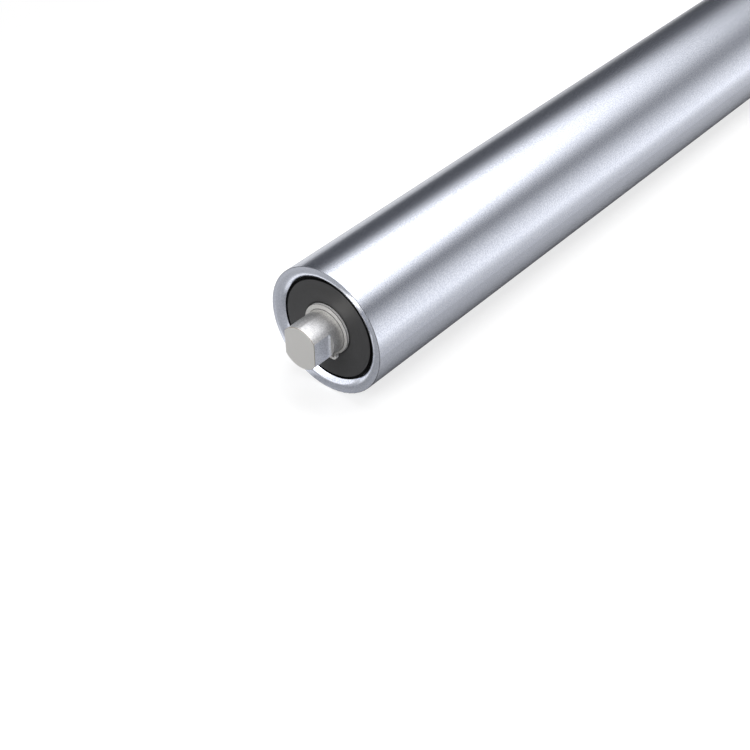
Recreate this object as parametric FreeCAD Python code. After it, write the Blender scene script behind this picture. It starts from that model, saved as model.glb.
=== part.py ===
"""Conveyor roller: a steel tube that turns on two ball bearings about a fixed axle.

Millimetres. The roller lies along Y with its centre at the origin and +Z up. The axle is held by its
flats, which stand upright, and both ends are alike. Each end piece is drawn once, against the rim of
the tube: its depth is measured from the rim plane, inwards along +Y. The near end is that drawing
moved to -Y, and the far end is the same drawing turned half round about Z.
"""
import FreeCAD, Part
import math
import os

# Axle
axle_diameter = 20.0
axle_across_flats = 16.5
axle_flat_length = 9.9
axle_flat_root_round = 1.5  # left by the cutter where a flat ends at its shoulder
axle_projection = 15.5      # from the rim plane to the end of the axle
axle_chamfer = 0.2

# Ball bearing
bearing_outer_diameter = 47.0
bearing_width = 14.0
ball_diameter = 7.94
ball_count = 8
race_clearance = 0.02       # between a ball and the bottom of either race
race_conformity = 0.52      # radius of the race's groove over the ball's diameter
shoulder_share = 0.2        # height of a race's shoulder over the ball's diameter
ring_edge_round = 0.8
seal_thickness = 0.7
seal_lip_gap = 0.08
cage_thickness = 2.6        # radial
cage_back = 0.8             # what the cage's ring leaves behind the balls
cage_reach = 2.2            # how far the cage's prongs pass the balls' centres
pocket_clearance = 0.1

# Tube and its rolled-in ends
tube_length = 500.0
tube_wall = 3.0
rim_edge_round = 0.25
rim_face_width = 1.45
rim_roll_depth = 2.15       # how far the roll has fallen back at the lip's bore
lip_back_depth = 5.0        # the lip's back face, which the housing stands against
lip_clearance = 0.85        # between the lip's bore and the bearing that is put in through it

# Bearing housing
housing_wall = 3.5
housing_back_wall = 2.5
housing_shoulder = 6.5      # radial width of the wall that carries the bearing's outer ring
housing_edge_round = 1.5

# Circlip, drawn as fitted
circlip_front_depth = 0.7
circlip_thickness = 1.2
circlip_groove_depth = 0.5
circlip_groove_play = 0.1
circlip_wide = 2.85         # radial width opposite the gap
circlip_narrow = 1.55       # radial width beside the lugs
circlip_gap = 2.0
circlip_lug_height = 4.2    # from the bottom of the groove
circlip_lug_width = 4.4
circlip_lug_round = 2.4
circlip_hole_diameter = 2.0

# End cover and labyrinth
cover_gap = 1.3             # black ring between the cover and the lip
cover_plate = 1.6
cover_fall = 0.1            # how far the cover's face falls back from its hub to its edge
cover_edge_round = 0.15
cover_land = 3.4            # flat radial seat under the circlip
cover_hub_wall = 2.6
cover_hub_length = 10.0
skirt_wall = 1.2
skirt_gap = 0.8             # radial running gap between skirts
skirt_end_gap = 1.0
labyrinth_web = 1.5
labyrinth_bearing_gap = 0.6
labyrinth_collar = 0.8      # thickness of the collar that seats on the housing's front
labyrinth_collar_gap = 0.1  # between the collar and the lip's bore

# Rear seal
rear_seal_gap = 0.08
rear_seal_setback = 0.5     # clear of the bearing's inner ring
rear_seal_web = 1.2
rear_seal_lip_wall = 1.0
rear_seal_lip_length = 2.4

# Radii, from the axle outwards
axle_r = axle_diameter / 2
bearing_r = bearing_outer_diameter / 2
tube_bore_r = bearing_r + housing_wall
tube_r = tube_bore_r + tube_wall
lip_r = bearing_r + lip_clearance
cover_r = lip_r - cover_gap
cover_hub_r = axle_r + cover_hub_wall
groove_r = axle_r - circlip_groove_depth

ball_r = ball_diameter / 2
pitch_r = (axle_r + bearing_r) / 2
race_r = race_conformity * ball_diameter
inner_race_r = pitch_r - ball_r - race_clearance
outer_race_r = pitch_r + ball_r + race_clearance
inner_shoulder_r = inner_race_r + shoulder_share * ball_diameter
outer_shoulder_r = outer_race_r - shoulder_share * ball_diameter
seal_seat_r = (outer_shoulder_r + outer_race_r) / 2

# Depths behind the rim plane
circlip_back_depth = circlip_front_depth + circlip_thickness
cover_back_depth = circlip_back_depth + cover_fall + cover_plate
bearing_front_depth = circlip_back_depth + cover_hub_length
bearing_mid_depth = bearing_front_depth + bearing_width / 2
bearing_back_depth = bearing_front_depth + bearing_width
web_back_depth = bearing_front_depth - labyrinth_bearing_gap
web_front_depth = web_back_depth - labyrinth_web
housing_back_depth = bearing_back_depth + housing_back_wall

tiny = 1e-6
ORIGIN = FreeCAD.Vector(0, 0, 0)
ALONG = FreeCAD.Vector(0, 1, 0)
UP = FreeCAD.Vector(0, 0, 1)


def turned(*outline):
    """Solid of revolution about Y. The outline's entries are (radius, depth) corners. A corner with a
    third value is the end of an arc about the centre (radius, depth) that this value gives."""
    points = [FreeCAD.Vector(corner[0], corner[1], 0) for corner in outline]
    edges = []
    for i, corner in enumerate(outline):
        start = points[i - 1]
        end = points[i]
        if len(corner) == 3:
            centre = FreeCAD.Vector(corner[2][0], corner[2][1], 0)
            middle = (start + end) * 0.5 - centre
            middle.normalize()
            edges.append(Part.Arc(start, centre + middle * (end - centre).Length, end).toShape())
        else:
            edges.append(Part.LineSegment(start, end).toShape())
    face = Part.Face(Part.Wire(edges))
    return face.revolve(ORIGIN, ALONG, 360)


def ring(inner_r, outer_r, front, back):
    """Plain ring between two radii and two depths."""
    return turned((inner_r, front), (outer_r, front), (outer_r, back), (inner_r, back))


def outward_round(radius, depth, size):
    """Quarter round from a front face at this depth to a rim of this radius."""
    return (radius - size, depth), (radius, depth + size, (radius - size, depth + size))


def backward_round(radius, depth, size):
    """Quarter round from a rim of this radius to a back face at this depth."""
    return (radius, depth - size), (radius - size, depth, (radius - size, depth - size))


def rolled_lip():
    """End of the tube: flat rim, then a long roll that falls back to the lip's bore."""
    face_inner_r = tube_r - rim_edge_round - rim_face_width
    run = face_inner_r - lip_r
    roll_r = (run ** 2 + rim_roll_depth ** 2) / (2 * rim_roll_depth)
    return turned(
        (lip_r, lip_back_depth),
        (lip_r, rim_roll_depth),
        (face_inner_r, 0, (face_inner_r, roll_r)),
        *outward_round(tube_r, 0, rim_edge_round),
        (tube_r, lip_back_depth),
    )


def roller_tube():
    """Drawn tube with both of its ends rolled in over the bearing housings."""
    wall = ring(tube_bore_r, tube_r, lip_back_depth, tube_length - lip_back_depth)
    wall.translate(FreeCAD.Vector(0, -tube_length / 2, 0))
    lip = rolled_lip()
    return wall.fuse([near(lip), far(lip)]).removeSplitter()


def axle():
    """Round bar with two flats at each end and a groove for each circlip."""
    half = tube_length / 2 + axle_projection
    bar = Part.makeCylinder(axle_r, 2 * half, FreeCAD.Vector(0, -half, 0), ALONG)
    groove = ring(
        groove_r,
        2 * axle_r,
        circlip_front_depth - circlip_groove_play,
        circlip_back_depth,
    )
    shaving = Part.makeBox(axle_r, axle_flat_length, 2 * axle_diameter)
    root = [edge for edge in shaving.Edges if edge.BoundBox.YMin > tiny and edge.BoundBox.XMax < tiny]
    shaving = shaving.makeFillet(axle_flat_root_round, root)
    shaving.translate(FreeCAD.Vector(axle_across_flats / 2, -axle_projection, -axle_diameter))
    opposite = shaving.mirror(ORIGIN, FreeCAD.Vector(1, 0, 0))
    cuts = [groove, shaving, opposite]
    bar = bar.cut([place(cut) for place in (near, far) for cut in cuts])
    outlines = [edge for edge in bar.Edges if abs(edge.CenterOfMass.y) > half - tiny]
    return bar.makeChamfer(axle_chamfer, outlines)


def bearing_inner_ring():
    """Inner ring, tight on the axle, with its groove for the balls."""
    blank = turned(
        (axle_r, bearing_front_depth),
        *outward_round(inner_shoulder_r, bearing_front_depth, ring_edge_round / 2),
        *backward_round(inner_shoulder_r, bearing_back_depth, ring_edge_round / 2),
        (axle_r, bearing_back_depth),
    )
    return blank.cut(race_groove(inner_race_r + race_r))


def bearing_outer_ring():
    """Outer ring, tight in the housing, with its groove and a seat for a seal on each side."""
    blank = turned(
        (outer_shoulder_r, bearing_front_depth),
        *outward_round(bearing_r, bearing_front_depth, ring_edge_round),
        *backward_round(bearing_r, bearing_back_depth, ring_edge_round),
        (outer_shoulder_r, bearing_back_depth),
    )
    front_seat = ring(pitch_r, seal_seat_r, bearing_front_depth, bearing_front_depth + seal_thickness)
    back_seat = ring(pitch_r, seal_seat_r, bearing_back_depth - seal_thickness, bearing_back_depth)
    return blank.cut([race_groove(outer_race_r - race_r), front_seat, back_seat])


def race_groove(centre_r):
    """Round groove that the balls run in, as a torus about the axle."""
    return Part.makeTorus(centre_r, race_r, FreeCAD.Vector(0, bearing_mid_depth, 0), ALONG)


def ball_centres():
    """The balls stand evenly round the pitch circle, the first half a step up from +X."""
    for i in range(ball_count):
        angle = 2 * math.pi * (i + 0.5) / ball_count
        yield FreeCAD.Vector(pitch_r * math.cos(angle), bearing_mid_depth, pitch_r * math.sin(angle))


def bearing_balls():
    """One set of balls, as separate solids."""
    return Part.Compound([Part.makeSphere(ball_r, centre) for centre in ball_centres()])


def ball_cage():
    """Moulded snap cage: a ring behind the balls, with prongs that close round each of them."""
    blank = ring(
        pitch_r - cage_thickness / 2,
        pitch_r + cage_thickness / 2,
        bearing_mid_depth - cage_reach,
        bearing_mid_depth + ball_r + cage_back,
    )
    pockets = [Part.makeSphere(ball_r + pocket_clearance, centre) for centre in ball_centres()]
    return blank.cut(pockets)


def bearing_seal(front):
    """Thin seal in the outer ring's seat, its lip just clear of the inner ring."""
    return ring(inner_shoulder_r + seal_lip_gap, seal_seat_r, front, front + seal_thickness)


def bearing_housing():
    """Cup pressed into the tube against the lip. Its back wall carries the bearing's outer ring."""
    return turned(
        (bearing_r, lip_back_depth),
        (tube_bore_r, lip_back_depth),
        *backward_round(tube_bore_r, housing_back_depth, housing_edge_round),
        (bearing_r - housing_shoulder, housing_back_depth),
        (bearing_r - housing_shoulder, bearing_back_depth),
        (bearing_r, bearing_back_depth),
    )


def rear_seal():
    """Ring pressed into the hole of the housing's back wall, with a lip along the axle."""
    bore_r = axle_r + rear_seal_gap
    seat_r = bearing_r - housing_shoulder
    front = bearing_back_depth + rear_seal_setback
    return turned(
        (bore_r, front),
        (seat_r, front),
        (seat_r, housing_back_depth),
        (seat_r - rear_seal_lip_wall, housing_back_depth),
        (seat_r - rear_seal_lip_wall, front + rear_seal_web),
        (bore_r + rear_seal_lip_wall, front + rear_seal_web),
        (bore_r + rear_seal_lip_wall / 2, front + rear_seal_web + rear_seal_lip_length),
        (bore_r, front + rear_seal_web + rear_seal_lip_length),
    )


def skirt_outer_r(place):
    """Outer radius of a labyrinth skirt, counted inwards from the sleeve in the housing's bore."""
    return bearing_r - place * (skirt_wall + skirt_gap)


def end_cover():
    """Dark moulded cover that stands still with the axle. Its hub keeps the bearing's distance from
    the circlip, its face falls back towards the edge, and two skirts behind it enter the labyrinth."""
    land_r = axle_r + cover_land
    plate = turned(
        (axle_r, circlip_back_depth),
        (land_r, circlip_back_depth),
        *outward_round(cover_r, circlip_back_depth + cover_fall, cover_edge_round),
        (cover_r, cover_back_depth),
        (axle_r, cover_back_depth),
    )
    hub = ring(axle_r, cover_hub_r, cover_back_depth, bearing_front_depth)
    skirts = []
    for place in (1, 3):
        outer_r = skirt_outer_r(place)
        skirts.append(ring(outer_r - skirt_wall, outer_r, cover_back_depth, web_front_depth - skirt_end_gap))
    return plate.fuse([hub] + skirts).removeSplitter()


def labyrinth_ring():
    """Ring pressed into the housing in front of the bearing, as far as its collar. Its sleeve and
    skirt turn between the cover's skirts, and its web stops short of the cover's hub."""
    sleeve_r = bearing_r - skirt_wall
    collar_r = lip_r - labyrinth_collar_gap
    collar = ring(sleeve_r, collar_r, lip_back_depth - labyrinth_collar, lip_back_depth)
    sleeve = ring(sleeve_r, bearing_r, lip_back_depth, bearing_front_depth)
    web = ring(cover_hub_r + skirt_gap, bearing_r, web_front_depth, web_back_depth)
    outer_r = skirt_outer_r(2)
    skirt = ring(outer_r - skirt_wall, outer_r, cover_back_depth + skirt_end_gap, web_front_depth)
    return sleeve.fuse([collar, web, skirt]).removeSplitter()


def circlip():
    """Spring ring in the axle's groove, widest at the top, with two lugs beside the gap below."""
    outer_r = groove_r + (circlip_wide + circlip_narrow) / 2
    offset = (circlip_wide - circlip_narrow) / 2
    front = FreeCAD.Vector(0, circlip_front_depth, 0)
    hoop = Part.makeCylinder(outer_r, circlip_thickness, front + UP * offset, ALONG)
    lug_reach = groove_r + circlip_lug_height
    lugs = Part.makeBox(circlip_gap + 2 * circlip_lug_width, circlip_thickness, lug_reach)
    lugs.translate(front + FreeCAD.Vector(-circlip_gap / 2 - circlip_lug_width, 0, -lug_reach))
    corners = []
    for edge in lugs.Edges:
        box = edge.BoundBox
        if box.ZMax < tiny - lug_reach and box.YLength > tiny:
            corners.append(edge)
    lugs = lugs.makeFillet(circlip_lug_round, corners)
    bore = Part.makeCylinder(groove_r, circlip_thickness, front, ALONG)
    gap = Part.makeBox(circlip_gap, circlip_thickness, 2 * lug_reach)
    gap.translate(front + FreeCAD.Vector(-circlip_gap / 2, 0, -2 * lug_reach))
    cuts = [bore, gap]
    hole_x = (circlip_gap + circlip_lug_width) / 2
    hole_z = circlip_hole_diameter - lug_reach
    for side in (-1, 1):
        centre = front + FreeCAD.Vector(side * hole_x, 0, hole_z)
        cuts.append(Part.makeCylinder(circlip_hole_diameter / 2, circlip_thickness, centre, ALONG))
    return hoop.fuse(lugs).removeSplitter().cut(cuts)


def near(piece):
    """The end at -Y."""
    moved = piece.copy()
    moved.translate(FreeCAD.Vector(0, -tube_length / 2, 0))
    return moved


def far(piece):
    """The end at +Y: the near end turned half round about Z."""
    moved = near(piece)
    moved.rotate(ORIGIN, UP, 180)
    return moved


END_PIECES = {
    "bearing_housing": bearing_housing(),
    "bearing_outer_ring": bearing_outer_ring(),
    "bearing_inner_ring": bearing_inner_ring(),
    "bearing_balls": bearing_balls(),
    "ball_cage": ball_cage(),
    "bearing_outer_seal": bearing_seal(bearing_front_depth),
    "bearing_inner_seal": bearing_seal(bearing_back_depth - seal_thickness),
    "labyrinth_ring": labyrinth_ring(),
    "rear_seal": rear_seal(),
    "end_cover": end_cover(),
    "circlip": circlip(),
}

os.makedirs("parts", exist_ok=True)
roller_tube().exportStep("parts/roller_tube.step")
axle().exportStep("parts/axle.step")
for name, piece in END_PIECES.items():
    near(piece).exportStep("parts/near_" + name + ".step")
    far(piece).exportStep("parts/far_" + name + ".step")
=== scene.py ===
import math

import bpy
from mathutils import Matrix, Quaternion, Vector


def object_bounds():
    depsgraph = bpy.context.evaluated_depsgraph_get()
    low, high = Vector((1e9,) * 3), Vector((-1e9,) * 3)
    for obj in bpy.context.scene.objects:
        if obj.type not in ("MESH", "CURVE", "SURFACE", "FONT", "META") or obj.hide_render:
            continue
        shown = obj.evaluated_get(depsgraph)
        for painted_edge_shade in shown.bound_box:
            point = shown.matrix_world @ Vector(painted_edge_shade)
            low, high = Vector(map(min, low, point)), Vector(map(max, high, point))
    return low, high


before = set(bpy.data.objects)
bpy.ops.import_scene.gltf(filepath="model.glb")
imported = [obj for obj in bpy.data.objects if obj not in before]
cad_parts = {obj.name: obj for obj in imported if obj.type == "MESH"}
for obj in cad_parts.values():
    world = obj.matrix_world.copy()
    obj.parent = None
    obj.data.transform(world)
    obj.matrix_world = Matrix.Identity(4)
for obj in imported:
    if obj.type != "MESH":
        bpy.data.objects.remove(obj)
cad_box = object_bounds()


# Roller tube
# A drawn steel tube with a bright, cold finish, polished all round. Its ends are rolled in over the
# bearing housings, which burnishes the roll. Each rim is faced flat, and a fine dark line of painted
# shade runs round its outer corner.

TUBE_RADIUS = 30.0
TUBE_HALF = 250.0
TUBE_STEEL = (0.86, 0.89, 0.98, 1.0)
TUBE_SHADE = (0.68, 0.715, 0.82, 1.0)
TUBE_PAINTED_EDGE_SHADE = (0.24, 0.25, 0.28, 1.0)
# A pair of numbers, here and below, says where a mask starts to rise and where it is full.
ROLL = (TUBE_RADIUS - 0.15, TUBE_RADIUS - 0.5)
OUTERMOST = (TUBE_RADIUS - 0.3, TUBE_RADIUS - 0.2)
ENDMOST = (TUBE_HALF - 0.3, TUBE_HALF - 0.2)
SPECKLE = (0.35, 0.65)
MILLIMETRES = 1000.0


class Socket:
    """One output of a node. Sums on it add the Math nodes that work them out."""

    def __init__(self, nodes, output):
        self.nodes = nodes
        self.output = output

    def sum(self, operation, *others):
        terms = dict(enumerate((self,) + others))
        return self.nodes.add("ShaderNodeMath", {"operation": operation}, terms)

    def __add__(self, other):
        return self.sum("ADD", other)

    __radd__ = __add__

    def __sub__(self, other):
        return self.sum("SUBTRACT", other)

    def __rsub__(self, other):
        return self.nodes.add("ShaderNodeMath", {"operation": "SUBTRACT"}, {0: other, 1: self})

    def __mul__(self, other):
        return self.sum("MULTIPLY", other)

    __rmul__ = __mul__

    def __pow__(self, other):
        return self.sum("POWER", other)

    def __abs__(self):
        return self.sum("ABSOLUTE")

    def rise(self, start, end):
        """0 at start, 1 at end, and smooth between them."""
        settings = {"interpolation_type": "SMOOTHSTEP"}
        inputs = {"Value": self, "From Min": start, "From Max": end}
        return self.nodes.add("ShaderNodeMapRange", settings, inputs)


class Nodes:
    """The nodes of a material or of the world, and the shader that they end in."""

    def __init__(self, tree, shader):
        self.tree = tree
        self.shader = tree.nodes[shader]

    def add(self, kind, settings, inputs, output=0):
        """Adds a node, sets it, fills or links its sockets, and gives one of its outputs."""
        made = self.tree.nodes.new(kind)
        for name, value in settings.items():
            setattr(made, name, value)
        for name, value in inputs.items():
            self.fill(made.inputs[name], value)
        return Socket(self, made.outputs[output])

    def fill(self, socket, value):
        if isinstance(value, Socket):
            self.tree.links.new(value.output, socket)
        else:
            socket.default_value = value

    def split(self, vector):
        return [self.add("ShaderNodeSeparateXYZ", {}, {0: vector}, axis) for axis in "XYZ"]

    def blend(self, share, first, second, clamp=True):
        """One colour going over into another."""
        settings = {"data_type": "RGBA", "clamp_factor": clamp}
        return self.add("ShaderNodeMix", settings, {"Factor": share, 6: first, 7: second}, 2)

    def finish(self, inputs):
        for name, value in inputs.items():
            self.fill(self.shader.inputs[name], value)


class Finish(Nodes):
    """A material in the making. Its places are the roller's own, in millimetres."""

    def __init__(self, name):
        self.material = bpy.data.materials.new(name)
        self.material.use_nodes = True
        super().__init__(self.material.node_tree, "Principled BSDF")
        place = self.add("ShaderNodeTexCoord", {}, {}, "Object")
        inputs = {0: place, "Scale": MILLIMETRES}
        self.place = self.add("ShaderNodeVectorMath", {"operation": "SCALE"}, inputs)
        self.x, self.y, self.z = self.split(self.place)
        self.radius = (self.x * self.x + self.z * self.z) ** 0.5

    def cloud(self, scale, detail=3.0, stretch=(1.0, 1.0, 1.0)):
        """Cloudy noise, with so many patches to a millimetre, stretched along the axes."""
        inputs = {0: self.place, 1: stretch}
        stretched = self.add("ShaderNodeVectorMath", {"operation": "MULTIPLY"}, inputs)
        inputs = {"Vector": stretched, "Scale": scale, "Detail": detail}
        return self.add("ShaderNodeTexNoise", {}, inputs)

    def turning(self, scale):
        """Fine lines round the axle, as a lathe, a grinder or a turned mould leaves them."""
        line = self.add("ShaderNodeCombineXYZ", {}, {"X": self.radius, "Y": self.y})
        inputs = {"Vector": line, "Scale": scale, "Detail": 2.0}
        return self.add("ShaderNodeTexNoise", {}, inputs)

    def relief(self, height, depth):
        """Bump of so many millimetres."""
        inputs = {"Height": height, "Strength": 1.0, "Distance": depth / MILLIMETRES}
        return self.add("ShaderNodeBump", {}, inputs, "Normal")

    def give(self, inputs, *pieces):
        """Sets the shader, and puts the finish on these pieces, which the CAD made."""
        self.finish(inputs)
        for name in pieces:
            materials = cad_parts[name].data.materials
            materials.clear()
            materials.append(self.material)


tube = Finish("tube_steel")
grain = tube.cloud(1.4, detail=4.0)
haze = tube.cloud(0.03, stretch=(1.0, 0.4, 1.0))
rolled = tube.radius.rise(*ROLL)
# Painted shade: a fine dark line round each rim's outer corner.
painted_edge_shade = tube.radius.rise(*OUTERMOST) * abs(tube.y).rise(*ENDMOST)
skin = tube.blend(0.8 * grain.rise(*SPECKLE) + 0.2 * haze, TUBE_STEEL, TUBE_SHADE)
tube.give({
    "Base Color": tube.blend(painted_edge_shade, skin, TUBE_PAINTED_EDGE_SHADE),
    "Metallic": 1.0,
    "Roughness": 0.18 + 0.06 * grain + 0.04 * haze - 0.1 * rolled,
    "Normal": tube.relief(grain * (1 - rolled), depth=0.0025),
}, "roller_tube")


# Bearing housings
# Cups pressed from steel sheet and plated a plain grey, forced into the tube against its rolled lip.
# The press leaves faint lines along the wall.

ENDS = ("near", "far")
HOUSING_STEEL = (0.50, 0.51, 0.53, 1.0)
HOUSING_SHADE = (0.40, 0.41, 0.43, 1.0)
PATCHES = (0.3, 0.7)

housing = Finish("housing_steel")
drawn = housing.cloud(2.0, stretch=(1.0, 0.08, 1.0))
housing.give({
    "Base Color": housing.blend(housing.cloud(0.15).rise(*PATCHES), HOUSING_STEEL, HOUSING_SHADE),
    "Metallic": 1.0,
    "Roughness": 0.34 + 0.14 * drawn,
    "Normal": housing.relief(drawn, depth=0.008),
}, *(end + "_bearing_housing" for end in ENDS))


# Bearing rings
# Hardened bearing steel, ground bright all over, with a groove for the balls. The outer ring is tight
# in the housing and the inner ring is tight on the axle.

RING_STEEL = (0.72, 0.73, 0.75, 1.0)
RING_SHADE = (0.62, 0.63, 0.66, 1.0)

ring = Finish("bearing_steel")
ground = ring.turning(9.0)
ring.give({
    "Base Color": ring.blend(ground.rise(*SPECKLE), RING_STEEL, RING_SHADE),
    "Metallic": 1.0,
    "Roughness": 0.16 + 0.12 * ground,
    "Normal": ring.relief(ground, depth=0.002),
}, *(end + "_bearing_" + which + "_ring" for end in ENDS for which in ("outer", "inner")))


# Bearing balls
# Eight lapped steel balls at each end, which run between the grooves of the two rings. They are mirror
# bright but for a breath of grease.

BALL_STEEL = (0.85, 0.86, 0.88, 1.0)
BALL_GREASE = (0.74, 0.72, 0.66, 1.0)
GREASED = (0.4, 0.75)

ball = Finish("ball_steel")
grease = ball.cloud(0.5, detail=2.0).rise(*GREASED)
ball.give({
    "Base Color": ball.blend(grease, BALL_STEEL, BALL_GREASE),
    "Metallic": 1.0,
    "Roughness": 0.05 + 0.18 * grease,
}, *(end + "_bearing_balls" for end in ENDS))


# Ball cages
# Snap cages moulded in natural nylon, slightly waxy, which keep the balls apart. Each pocket is open
# on one side, where its ball is pressed in.

CAGE_NYLON = (0.85, 0.83, 0.75, 1.0)
CAGE_SHADE = (0.76, 0.73, 0.62, 1.0)

cage = Finish("cage_nylon")
waxy = cage.cloud(0.8)
cage.give({
    "Base Color": cage.blend(waxy.rise(*PATCHES), CAGE_NYLON, CAGE_SHADE),
    "Roughness": 0.42 + 0.12 * waxy,
    "Normal": cage.relief(cage.cloud(4.0), depth=0.01),
}, *(end + "_ball_cage" for end in ENDS))


# Bearing seals and rear seals
# Black nitrile rubber with a matt moulded skin. The bearing's own seals sit in its outer ring, and the
# rear seal is pressed into the back wall of the housing with its lip along the axle.

SEAL_RUBBER = (0.018, 0.018, 0.019, 1.0)
SEAL_BLOOM = (0.045, 0.044, 0.043, 1.0)
BLOOMED = (0.45, 0.8)
SEALS = ("_bearing_outer_seal", "_bearing_inner_seal", "_rear_seal")

seal = Finish("seal_rubber")
bloom = seal.cloud(0.6, detail=4.0)
seal.give({
    "Base Color": seal.blend(bloom.rise(*BLOOMED), SEAL_RUBBER, SEAL_BLOOM),
    "Roughness": 0.55 + 0.2 * bloom,
    "Normal": seal.relief(0.6 * seal.turning(3.0) + 0.4 * seal.cloud(6.0), depth=0.02),
}, *(end + which for end in ENDS for which in SEALS))


# Labyrinth rings
# Black moulded rings that turn with the housing. Only the edge of one shows, deep in the gap between
# the cover and the lip.

LABYRINTH_PLASTIC = (0.005, 0.005, 0.005, 1.0)
LABYRINTH_DUST = (0.010, 0.010, 0.009, 1.0)
DUSTED = (0.5, 0.85)

labyrinth = Finish("labyrinth_plastic")
dust = labyrinth.cloud(0.7, detail=4.0)
labyrinth.give({
    "Base Color": labyrinth.blend(dust.rise(*DUSTED), LABYRINTH_PLASTIC, LABYRINTH_DUST),
    "Roughness": 0.6 + 0.2 * dust,
    "Specular IOR Level": 0.1,
    "Normal": labyrinth.relief(labyrinth.turning(4.0), depth=0.01),
}, *(end + "_labyrinth_ring" for end in ENDS))


# Axle
# A bright drawn steel bar that stands still, its end faces turned. The frame holds it by two flats
# milled on each end, which are bluer than the bar and run out in a dull, dark curve. The burr at the
# end is brownish and painted darker as shade along the edge. A thin strip just outside the circlip
# groove is painted in the end face's colour, as a painted reflection of the circlip in the bar.

AXLE_STEEL = (0.84, 0.825, 0.80, 1.0)
AXLE_SHADE = (0.56, 0.55, 0.535, 1.0)
MILLED_STEEL = (0.80, 0.82, 0.88, 1.0)
MILLED_SHADE = (0.60, 0.62, 0.67, 1.0)
FACED_STEEL = (0.67, 0.662, 0.645, 1.0)
RUN_OUT_STEEL = (0.30, 0.29, 0.275, 1.0)
BURR_BROWN_AND_EDGE_SHADE = (0.20, 0.17, 0.13, 1.0)
AXLE_END = 265.5
END_FACE = (AXLE_END - 0.03, AXLE_END - 0.01)
BEVEL = (AXLE_END - 0.22, AXLE_END - 0.18)
HALF_ACROSS_FLATS = 8.25
FLAT_DEPTH = (-0.03, -0.01)
FLAT_LENGTH = (AXLE_END - 9.9, AXLE_END - 9.8)
RUN_OUT = (0.2, 0.9)
STRIP_INNER = (249.4, 249.5)
STRIP_OUTER = (250.1, 249.9)

axle = Finish("axle_steel")
grain = axle.cloud(1.6, detail=4.0)
speckle = grain.rise(*SPECKLE)
drawn = axle.cloud(1.5, stretch=(1.0, 0.06, 1.0))
end_on = abs(axle.y)
out_of_flat = abs(axle.x) - HALF_ACROSS_FLATS
at_end = end_on.rise(*END_FACE)
# The bevel holds the brownish burr, painted darker as shade along the end's edge.
bevel = end_on.rise(*BEVEL) * (1 - at_end)
on_flat = out_of_flat.rise(*FLAT_DEPTH) * end_on.rise(*FLAT_LENGTH)
run_out = on_flat * out_of_flat.rise(*RUN_OUT)
# Painted reflection: a thin light strip where the bar mirrors the circlip's face.
painted_reflection_strip = end_on.rise(*STRIP_INNER) * end_on.rise(*STRIP_OUTER)
colour = axle.blend(0.7 * speckle + 0.3 * drawn, AXLE_STEEL, AXLE_SHADE)
colour = axle.blend(on_flat, colour, axle.blend(speckle, MILLED_STEEL, MILLED_SHADE))
colour = axle.blend(run_out, colour, RUN_OUT_STEEL)
colour = axle.blend(at_end.sum("MAXIMUM", painted_reflection_strip), colour, FACED_STEEL)
axle.give({
    "Base Color": axle.blend(bevel, colour, BURR_BROWN_AND_EDGE_SHADE),
    "Metallic": 1 - 0.5 * at_end - 0.4 * painted_reflection_strip - 0.25 * (on_flat + run_out) - bevel,
    "Roughness": 0.36 + 0.1 * grain + 0.02 * drawn,
    "Normal": axle.relief(grain, depth=0.006),
}, "axle")


# End covers
# Moulded discs in charcoal plastic that stand still with the axle and close the labyrinth. The turned
# mould leaves fine rings on the face, which catch the light in a soft ray. The edge and a ring round
# the circlip are painted near black, as shade in the gap under the lip and round the circlip.

COVER_PLASTIC = (0.040, 0.040, 0.041, 1.0)
COVER_SHADE = (0.034, 0.034, 0.035, 1.0)
COVER_PAINTED_SHADE = (0.004, 0.004, 0.004, 1.0)
COVER_EDGE = (22.9, 23.0)
CIRCLIP_RADIUS = 11.7
CIRCLIP_OFFSET = 0.65
SHADE_RING = (CIRCLIP_RADIUS + 1.0, CIRCLIP_RADIUS + 0.6)

cover = Finish("cover_plastic")
skin = cover.cloud(3.0)
face = cover.blend(skin.rise(*PATCHES), COVER_PLASTIC, COVER_SHADE)
above = cover.z - CIRCLIP_OFFSET
# Painted shade: near black along the edge and in a ring round the circlip.
shade_round_circlip = ((cover.x * cover.x + above * above) ** 0.5).rise(*SHADE_RING)
painted_shade = cover.radius.rise(*COVER_EDGE).sum("MAXIMUM", 0.9 * shade_round_circlip)
cover.give({
    "Base Color": cover.blend(painted_shade, face, COVER_PAINTED_SHADE),
    "Roughness": 0.40 + 0.06 * skin,
    "Specular IOR Level": 0.3,
    "Normal": cover.relief(cover.turning(2.0), depth=0.05),
}, *(end + "_end_cover" for end in ENDS))


# Circlips
# Rings punched from spring steel that snap into the axle's grooves and hold the covers. The face is a
# warm satin grey, and the sheared side is lighter with a dark line of burr. The two lugs beside the
# gap are painted bright, as painted light where the axle's shadow falls on them. The slit between
# ring and axle is painted black, as shade in the groove.

CIRCLIP_STEEL = (0.47, 0.465, 0.455, 1.0)
CIRCLIP_SHADE = (0.39, 0.385, 0.375, 1.0)
SHEARED_STEEL = (0.74, 0.735, 0.72, 1.0)
LUG_PAINTED_LIGHT = (0.96, 0.955, 0.94, 1.0)
BLACK = (0.0, 0.0, 0.0, 1.0)
CIRCLIP_FRONT = 249.3
SIDE_DEPTH = (0.05, 0.1)
BURR_FRONT = (0.01, 0.02)
BURR_BACK = (0.36, 0.34)
BURR_LEFT_ON_LUG = 0.4
LUG = (CIRCLIP_OFFSET - CIRCLIP_RADIUS - 0.2, CIRCLIP_OFFSET - CIRCLIP_RADIUS - 0.6)
SHADED_SLIT = (10.35, 10.15)
DARKNESS = 0.8

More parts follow.
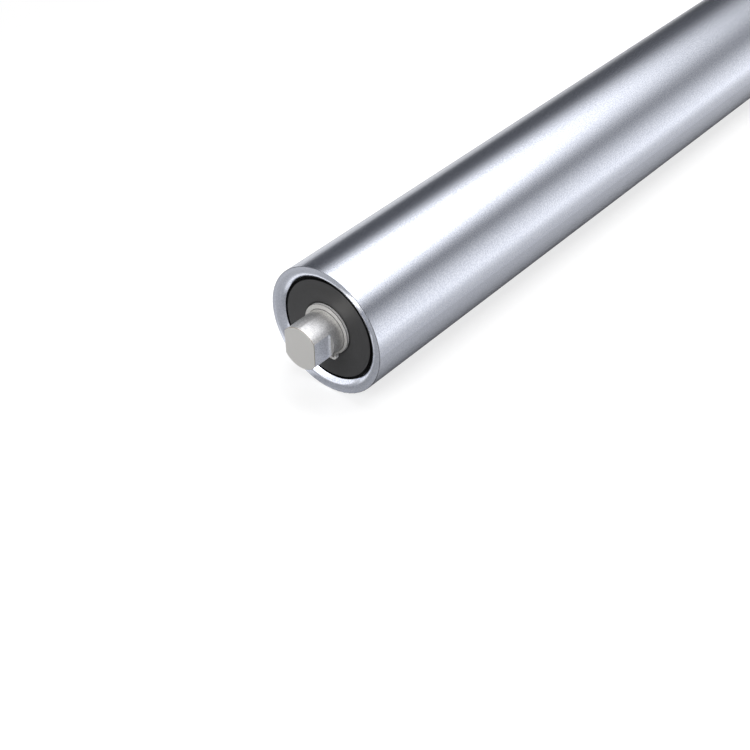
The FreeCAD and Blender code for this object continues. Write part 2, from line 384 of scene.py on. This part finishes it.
circlip = Finish("circlip_steel")
tumbled = circlip.cloud(2.5)
behind_front = CIRCLIP_FRONT - abs(circlip.y)
lug = circlip.z.rise(*LUG)
burr = behind_front.rise(*BURR_FRONT) * behind_front.rise(*BURR_BACK)
burr = burr * (1 - (1 - BURR_LEFT_ON_LUG) * lug)
# Painted shade: the slit between ring and axle is black.
painted_slit_shade = circlip.radius.rise(*SHADED_SLIT)
colour = circlip.blend(tumbled.rise(*PATCHES), CIRCLIP_STEEL, CIRCLIP_SHADE)
colour = circlip.blend(behind_front.rise(*SIDE_DEPTH), colour, SHEARED_STEEL)
# Painted light on the two lugs, which also keep less of the burr line.
colour = circlip.blend(lug, colour, LUG_PAINTED_LIGHT)
circlip.give({
    "Base Color": circlip.blend(DARKNESS * burr.sum("MAXIMUM", painted_slit_shade), colour, BLACK),
    "Metallic": 0.1,
    "Roughness": 0.40 + 0.1 * tumbled,
    "Normal": circlip.relief(tumbled, depth=0.006),
}, *(end + "_circlip" for end in ENDS))


# Floor
# A plain pale floor under the tube, white to the camera but for the roller's shadow. Bright metal
# sees it glow with painted light and shade: a painted shadow close by, dim on the left, dimmest
# there towards the far end, and with a faint painted spill and a small painted card of light just
# off each end.

FLOOR_REACH = 12.0
WHITE = (1.0, 1.0, 1.0, 1.0)
FLOOR_SHADE = 0.25
SHADE_WIDTH = (60.0, 400.0)
PALE_FROM = (10.0, 150.0)
PALE_SHARE_PAST_END = 0.4
LEFT_TO_RIGHT = (-100.0, 100.0)
LEFT_LIGHT = 0.62
RIGHT_LIGHT = 0.98
FAR_TO_NEAR = (100.0, -260.0)
FAR_LIGHT = 0.15
MIRROR_SLOPE = 1.31
MIRROR_REACH = 446.0
OFF_THE_END = (-4.0, 0.0)
SPILL_DEPTH = (45.0, 0.0)
SPILL_LIGHT = 0.24
CARD_DEPTH = (25.0, 8.0)
CARD_RIGHT = (-8.0, -18.0)
CARD_LEFT = (-60.0, -40.0)
CARD_LIGHT = 0.65


def rays(nodes):
    """Whether a ray comes from the camera, from a mirroring surface or through a clear one."""
    kinds = ("Camera", "Glossy", "Transmission")
    return [nodes.add("ShaderNodeLightPath", {}, {}, "Is " + kind + " Ray") for kind in kinds]


floor_z = cad_box[0].z
signs = ((-1, -1), (1, -1), (1, 1), (-1, 1))
corners = [(FLOOR_REACH * x, FLOOR_REACH * y, floor_z) for x, y in signs]
floor_mesh = bpy.data.meshes.new("floor")
floor_mesh.from_pydata(corners, [], [(0, 1, 2, 3)])
floor = bpy.data.objects.new("floor", floor_mesh)
bpy.context.scene.collection.objects.link(floor)

paper = Finish("floor_paper")
camera_ray, glossy_ray, clear_ray = rays(paper)
aside = abs(paper.x)
beside = aside - TUBE_RADIUS
beyond_end = abs(paper.y) - TUBE_HALF
rightward = paper.x.rise(*LEFT_TO_RIGHT)
# Where along the tube the camera sees a spot of the floor mirrored.
mirrored_at = (paper.y - MIRROR_SLOPE * aside) * (1 + aside * (1 / MIRROR_REACH)) ** -1
nearness = mirrored_at.rise(*FAR_TO_NEAR).sum("MAXIMUM", rightward)
# Painted shadow and light for mirroring rays: dark close to the roller, paler away from it.
painted_glow = beside.sum("MAXIMUM", PALE_SHARE_PAST_END * beyond_end).rise(*PALE_FROM)
painted_glow = painted_glow * (LEFT_LIGHT + (RIGHT_LIGHT - LEFT_LIGHT) * rightward)
painted_glow = painted_glow * (FAR_LIGHT + (1 - FAR_LIGHT) * nearness)
# Painted light: a faint spill and a small card of light just off each end.
off_end = beyond_end.rise(*OFF_THE_END)
painted_spill = off_end * beyond_end.rise(*SPILL_DEPTH)
painted_card = off_end * beyond_end.rise(*CARD_DEPTH) * paper.x.rise(*CARD_RIGHT) * paper.x.rise(*CARD_LEFT)
mirrored = painted_glow + SPILL_LIGHT * painted_spill + CARD_LIGHT * painted_card
shaded = FLOOR_SHADE * (1 - beside.sum("MAXIMUM", beyond_end).rise(*SHADE_WIDTH))
seen = (camera_ray + clear_ray + glossy_ray * mirrored) * (1 - shaded)
paper.finish({
    "Base Color": paper.blend(shaded, BLACK, WHITE),
    "Roughness": 0.9,
    "Specular IOR Level": 0.0,
    "Emission Color": paper.blend(seen, BLACK, WHITE),
    "Emission Strength": 1.0,
})
floor.data.materials.append(paper.material)


# World and lamps
# A dim studio that bright metal mirrors: a pale wall on the right, a soft glow overhead that fades
# towards the far end, and a low window at the front left. Of the two softboxes, the one overhead
# only lights, so that no metal mirrors its edges.

STUDIO = (0.084, 0.087, 0.095, 1.0)
WALL_HEIGHT = (0.6, -0.1)
WALL_RIGHT = (-0.1, 0.5)
GLOW_LEAN = (0.98, 0.0)
GLOW_ALONG = (0.92, 0.48)
GLOW_LIGHT = 4.4
GLOW_LIMIT = 2.0
WINDOW_ALONG = (0.1, -0.2)
WINDOW_RIGHT = (0.3, -0.1)
WINDOW_FOOT = (-0.05, 0.05)
WINDOW_HEAD = (0.9, 0.5)
WINDOW_LIGHT = 1.15

world = bpy.data.worlds.new("studio")
bpy.context.scene.world = world
world.use_nodes = True
studio = Nodes(world.node_tree, "Background")
camera_ray, glossy_ray, clear_ray = rays(studio)
right, along, height = studio.split(studio.add("ShaderNodeTexCoord", {}, {}, "Generated"))
wall = height.rise(*WALL_HEIGHT) * right.rise(*WALL_RIGHT)
lean = (height * (right * right + height * height) ** -0.5).sum("ARCCOSINE")
glow = (GLOW_LIGHT * lean.rise(*GLOW_LEAN) * along.rise(*GLOW_ALONG)).sum("MINIMUM", GLOW_LIMIT)
window = WINDOW_LIGHT * along.rise(*WINDOW_ALONG) * right.rise(*WINDOW_RIGHT)
window = window * height.rise(*WINDOW_FOOT) * height.rise(*WINDOW_HEAD)
light = camera_ray + clear_ray + glossy_ray * (wall + glow + window)
studio.finish({"Color": studio.blend(light, STUDIO, WHITE, clamp=False)})


def softbox(name, centre, target, width, length, watts):
    lamp = bpy.data.lights.new(name, "AREA")
    lamp.shape = "RECTANGLE"
    lamp.size = width
    lamp.size_y = length
    lamp.energy = watts
    made = bpy.data.objects.new(name, lamp)
    bpy.context.scene.collection.objects.link(made)
    made.location = centre
    made.rotation_mode = "QUATERNION"
    made.rotation_quaternion = (Vector(centre) - Vector(target)).to_track_quat("Z", "Y")
    made.visible_camera = False
    return made


overhead = softbox("overhead", (0.02, 0.40, 1.2), (0.02, 0.40, 0.0), width=1.3, length=1.4, watts=36.0)
overhead.visible_glossy = False
softbox("front", (0.10, -1.4, 0.75), (0.0, -0.25, 0.0), width=1.3, length=1.0, watts=17.0)


# Camera
# The photo's own view, from above the near end on its right. Place, angles and lens were fitted to the
# outlines of that end and of the tube.

CAMERA_PLACE = (0.31992, -0.58620, 0.34630)
CAMERA_LENS = 66.50
CAMERA_AZIMUTH = math.radians(41.046)
CAMERA_ELEVATION = math.radians(38.619)
CAMERA_ROLL = math.radians(-1.4105)

camera = bpy.data.objects.new("camera", bpy.data.cameras.new("camera"))
bpy.context.scene.collection.objects.link(camera)
bpy.context.scene.camera = camera
camera.data.sensor_width = 36.0
camera.data.lens = CAMERA_LENS
camera.data.clip_start = 0.01
camera.location = CAMERA_PLACE
level = math.cos(CAMERA_ELEVATION)
back = Vector((
    math.sin(CAMERA_AZIMUTH) * level,
    -math.cos(CAMERA_AZIMUTH) * level,
    math.sin(CAMERA_ELEVATION),
))
camera.rotation_mode = "QUATERNION"
camera.rotation_quaternion = back.to_track_quat("Z", "Y") @ Quaternion((0, 0, 1), CAMERA_ROLL)

bpy.context.scene.view_settings.view_transform = "Standard"
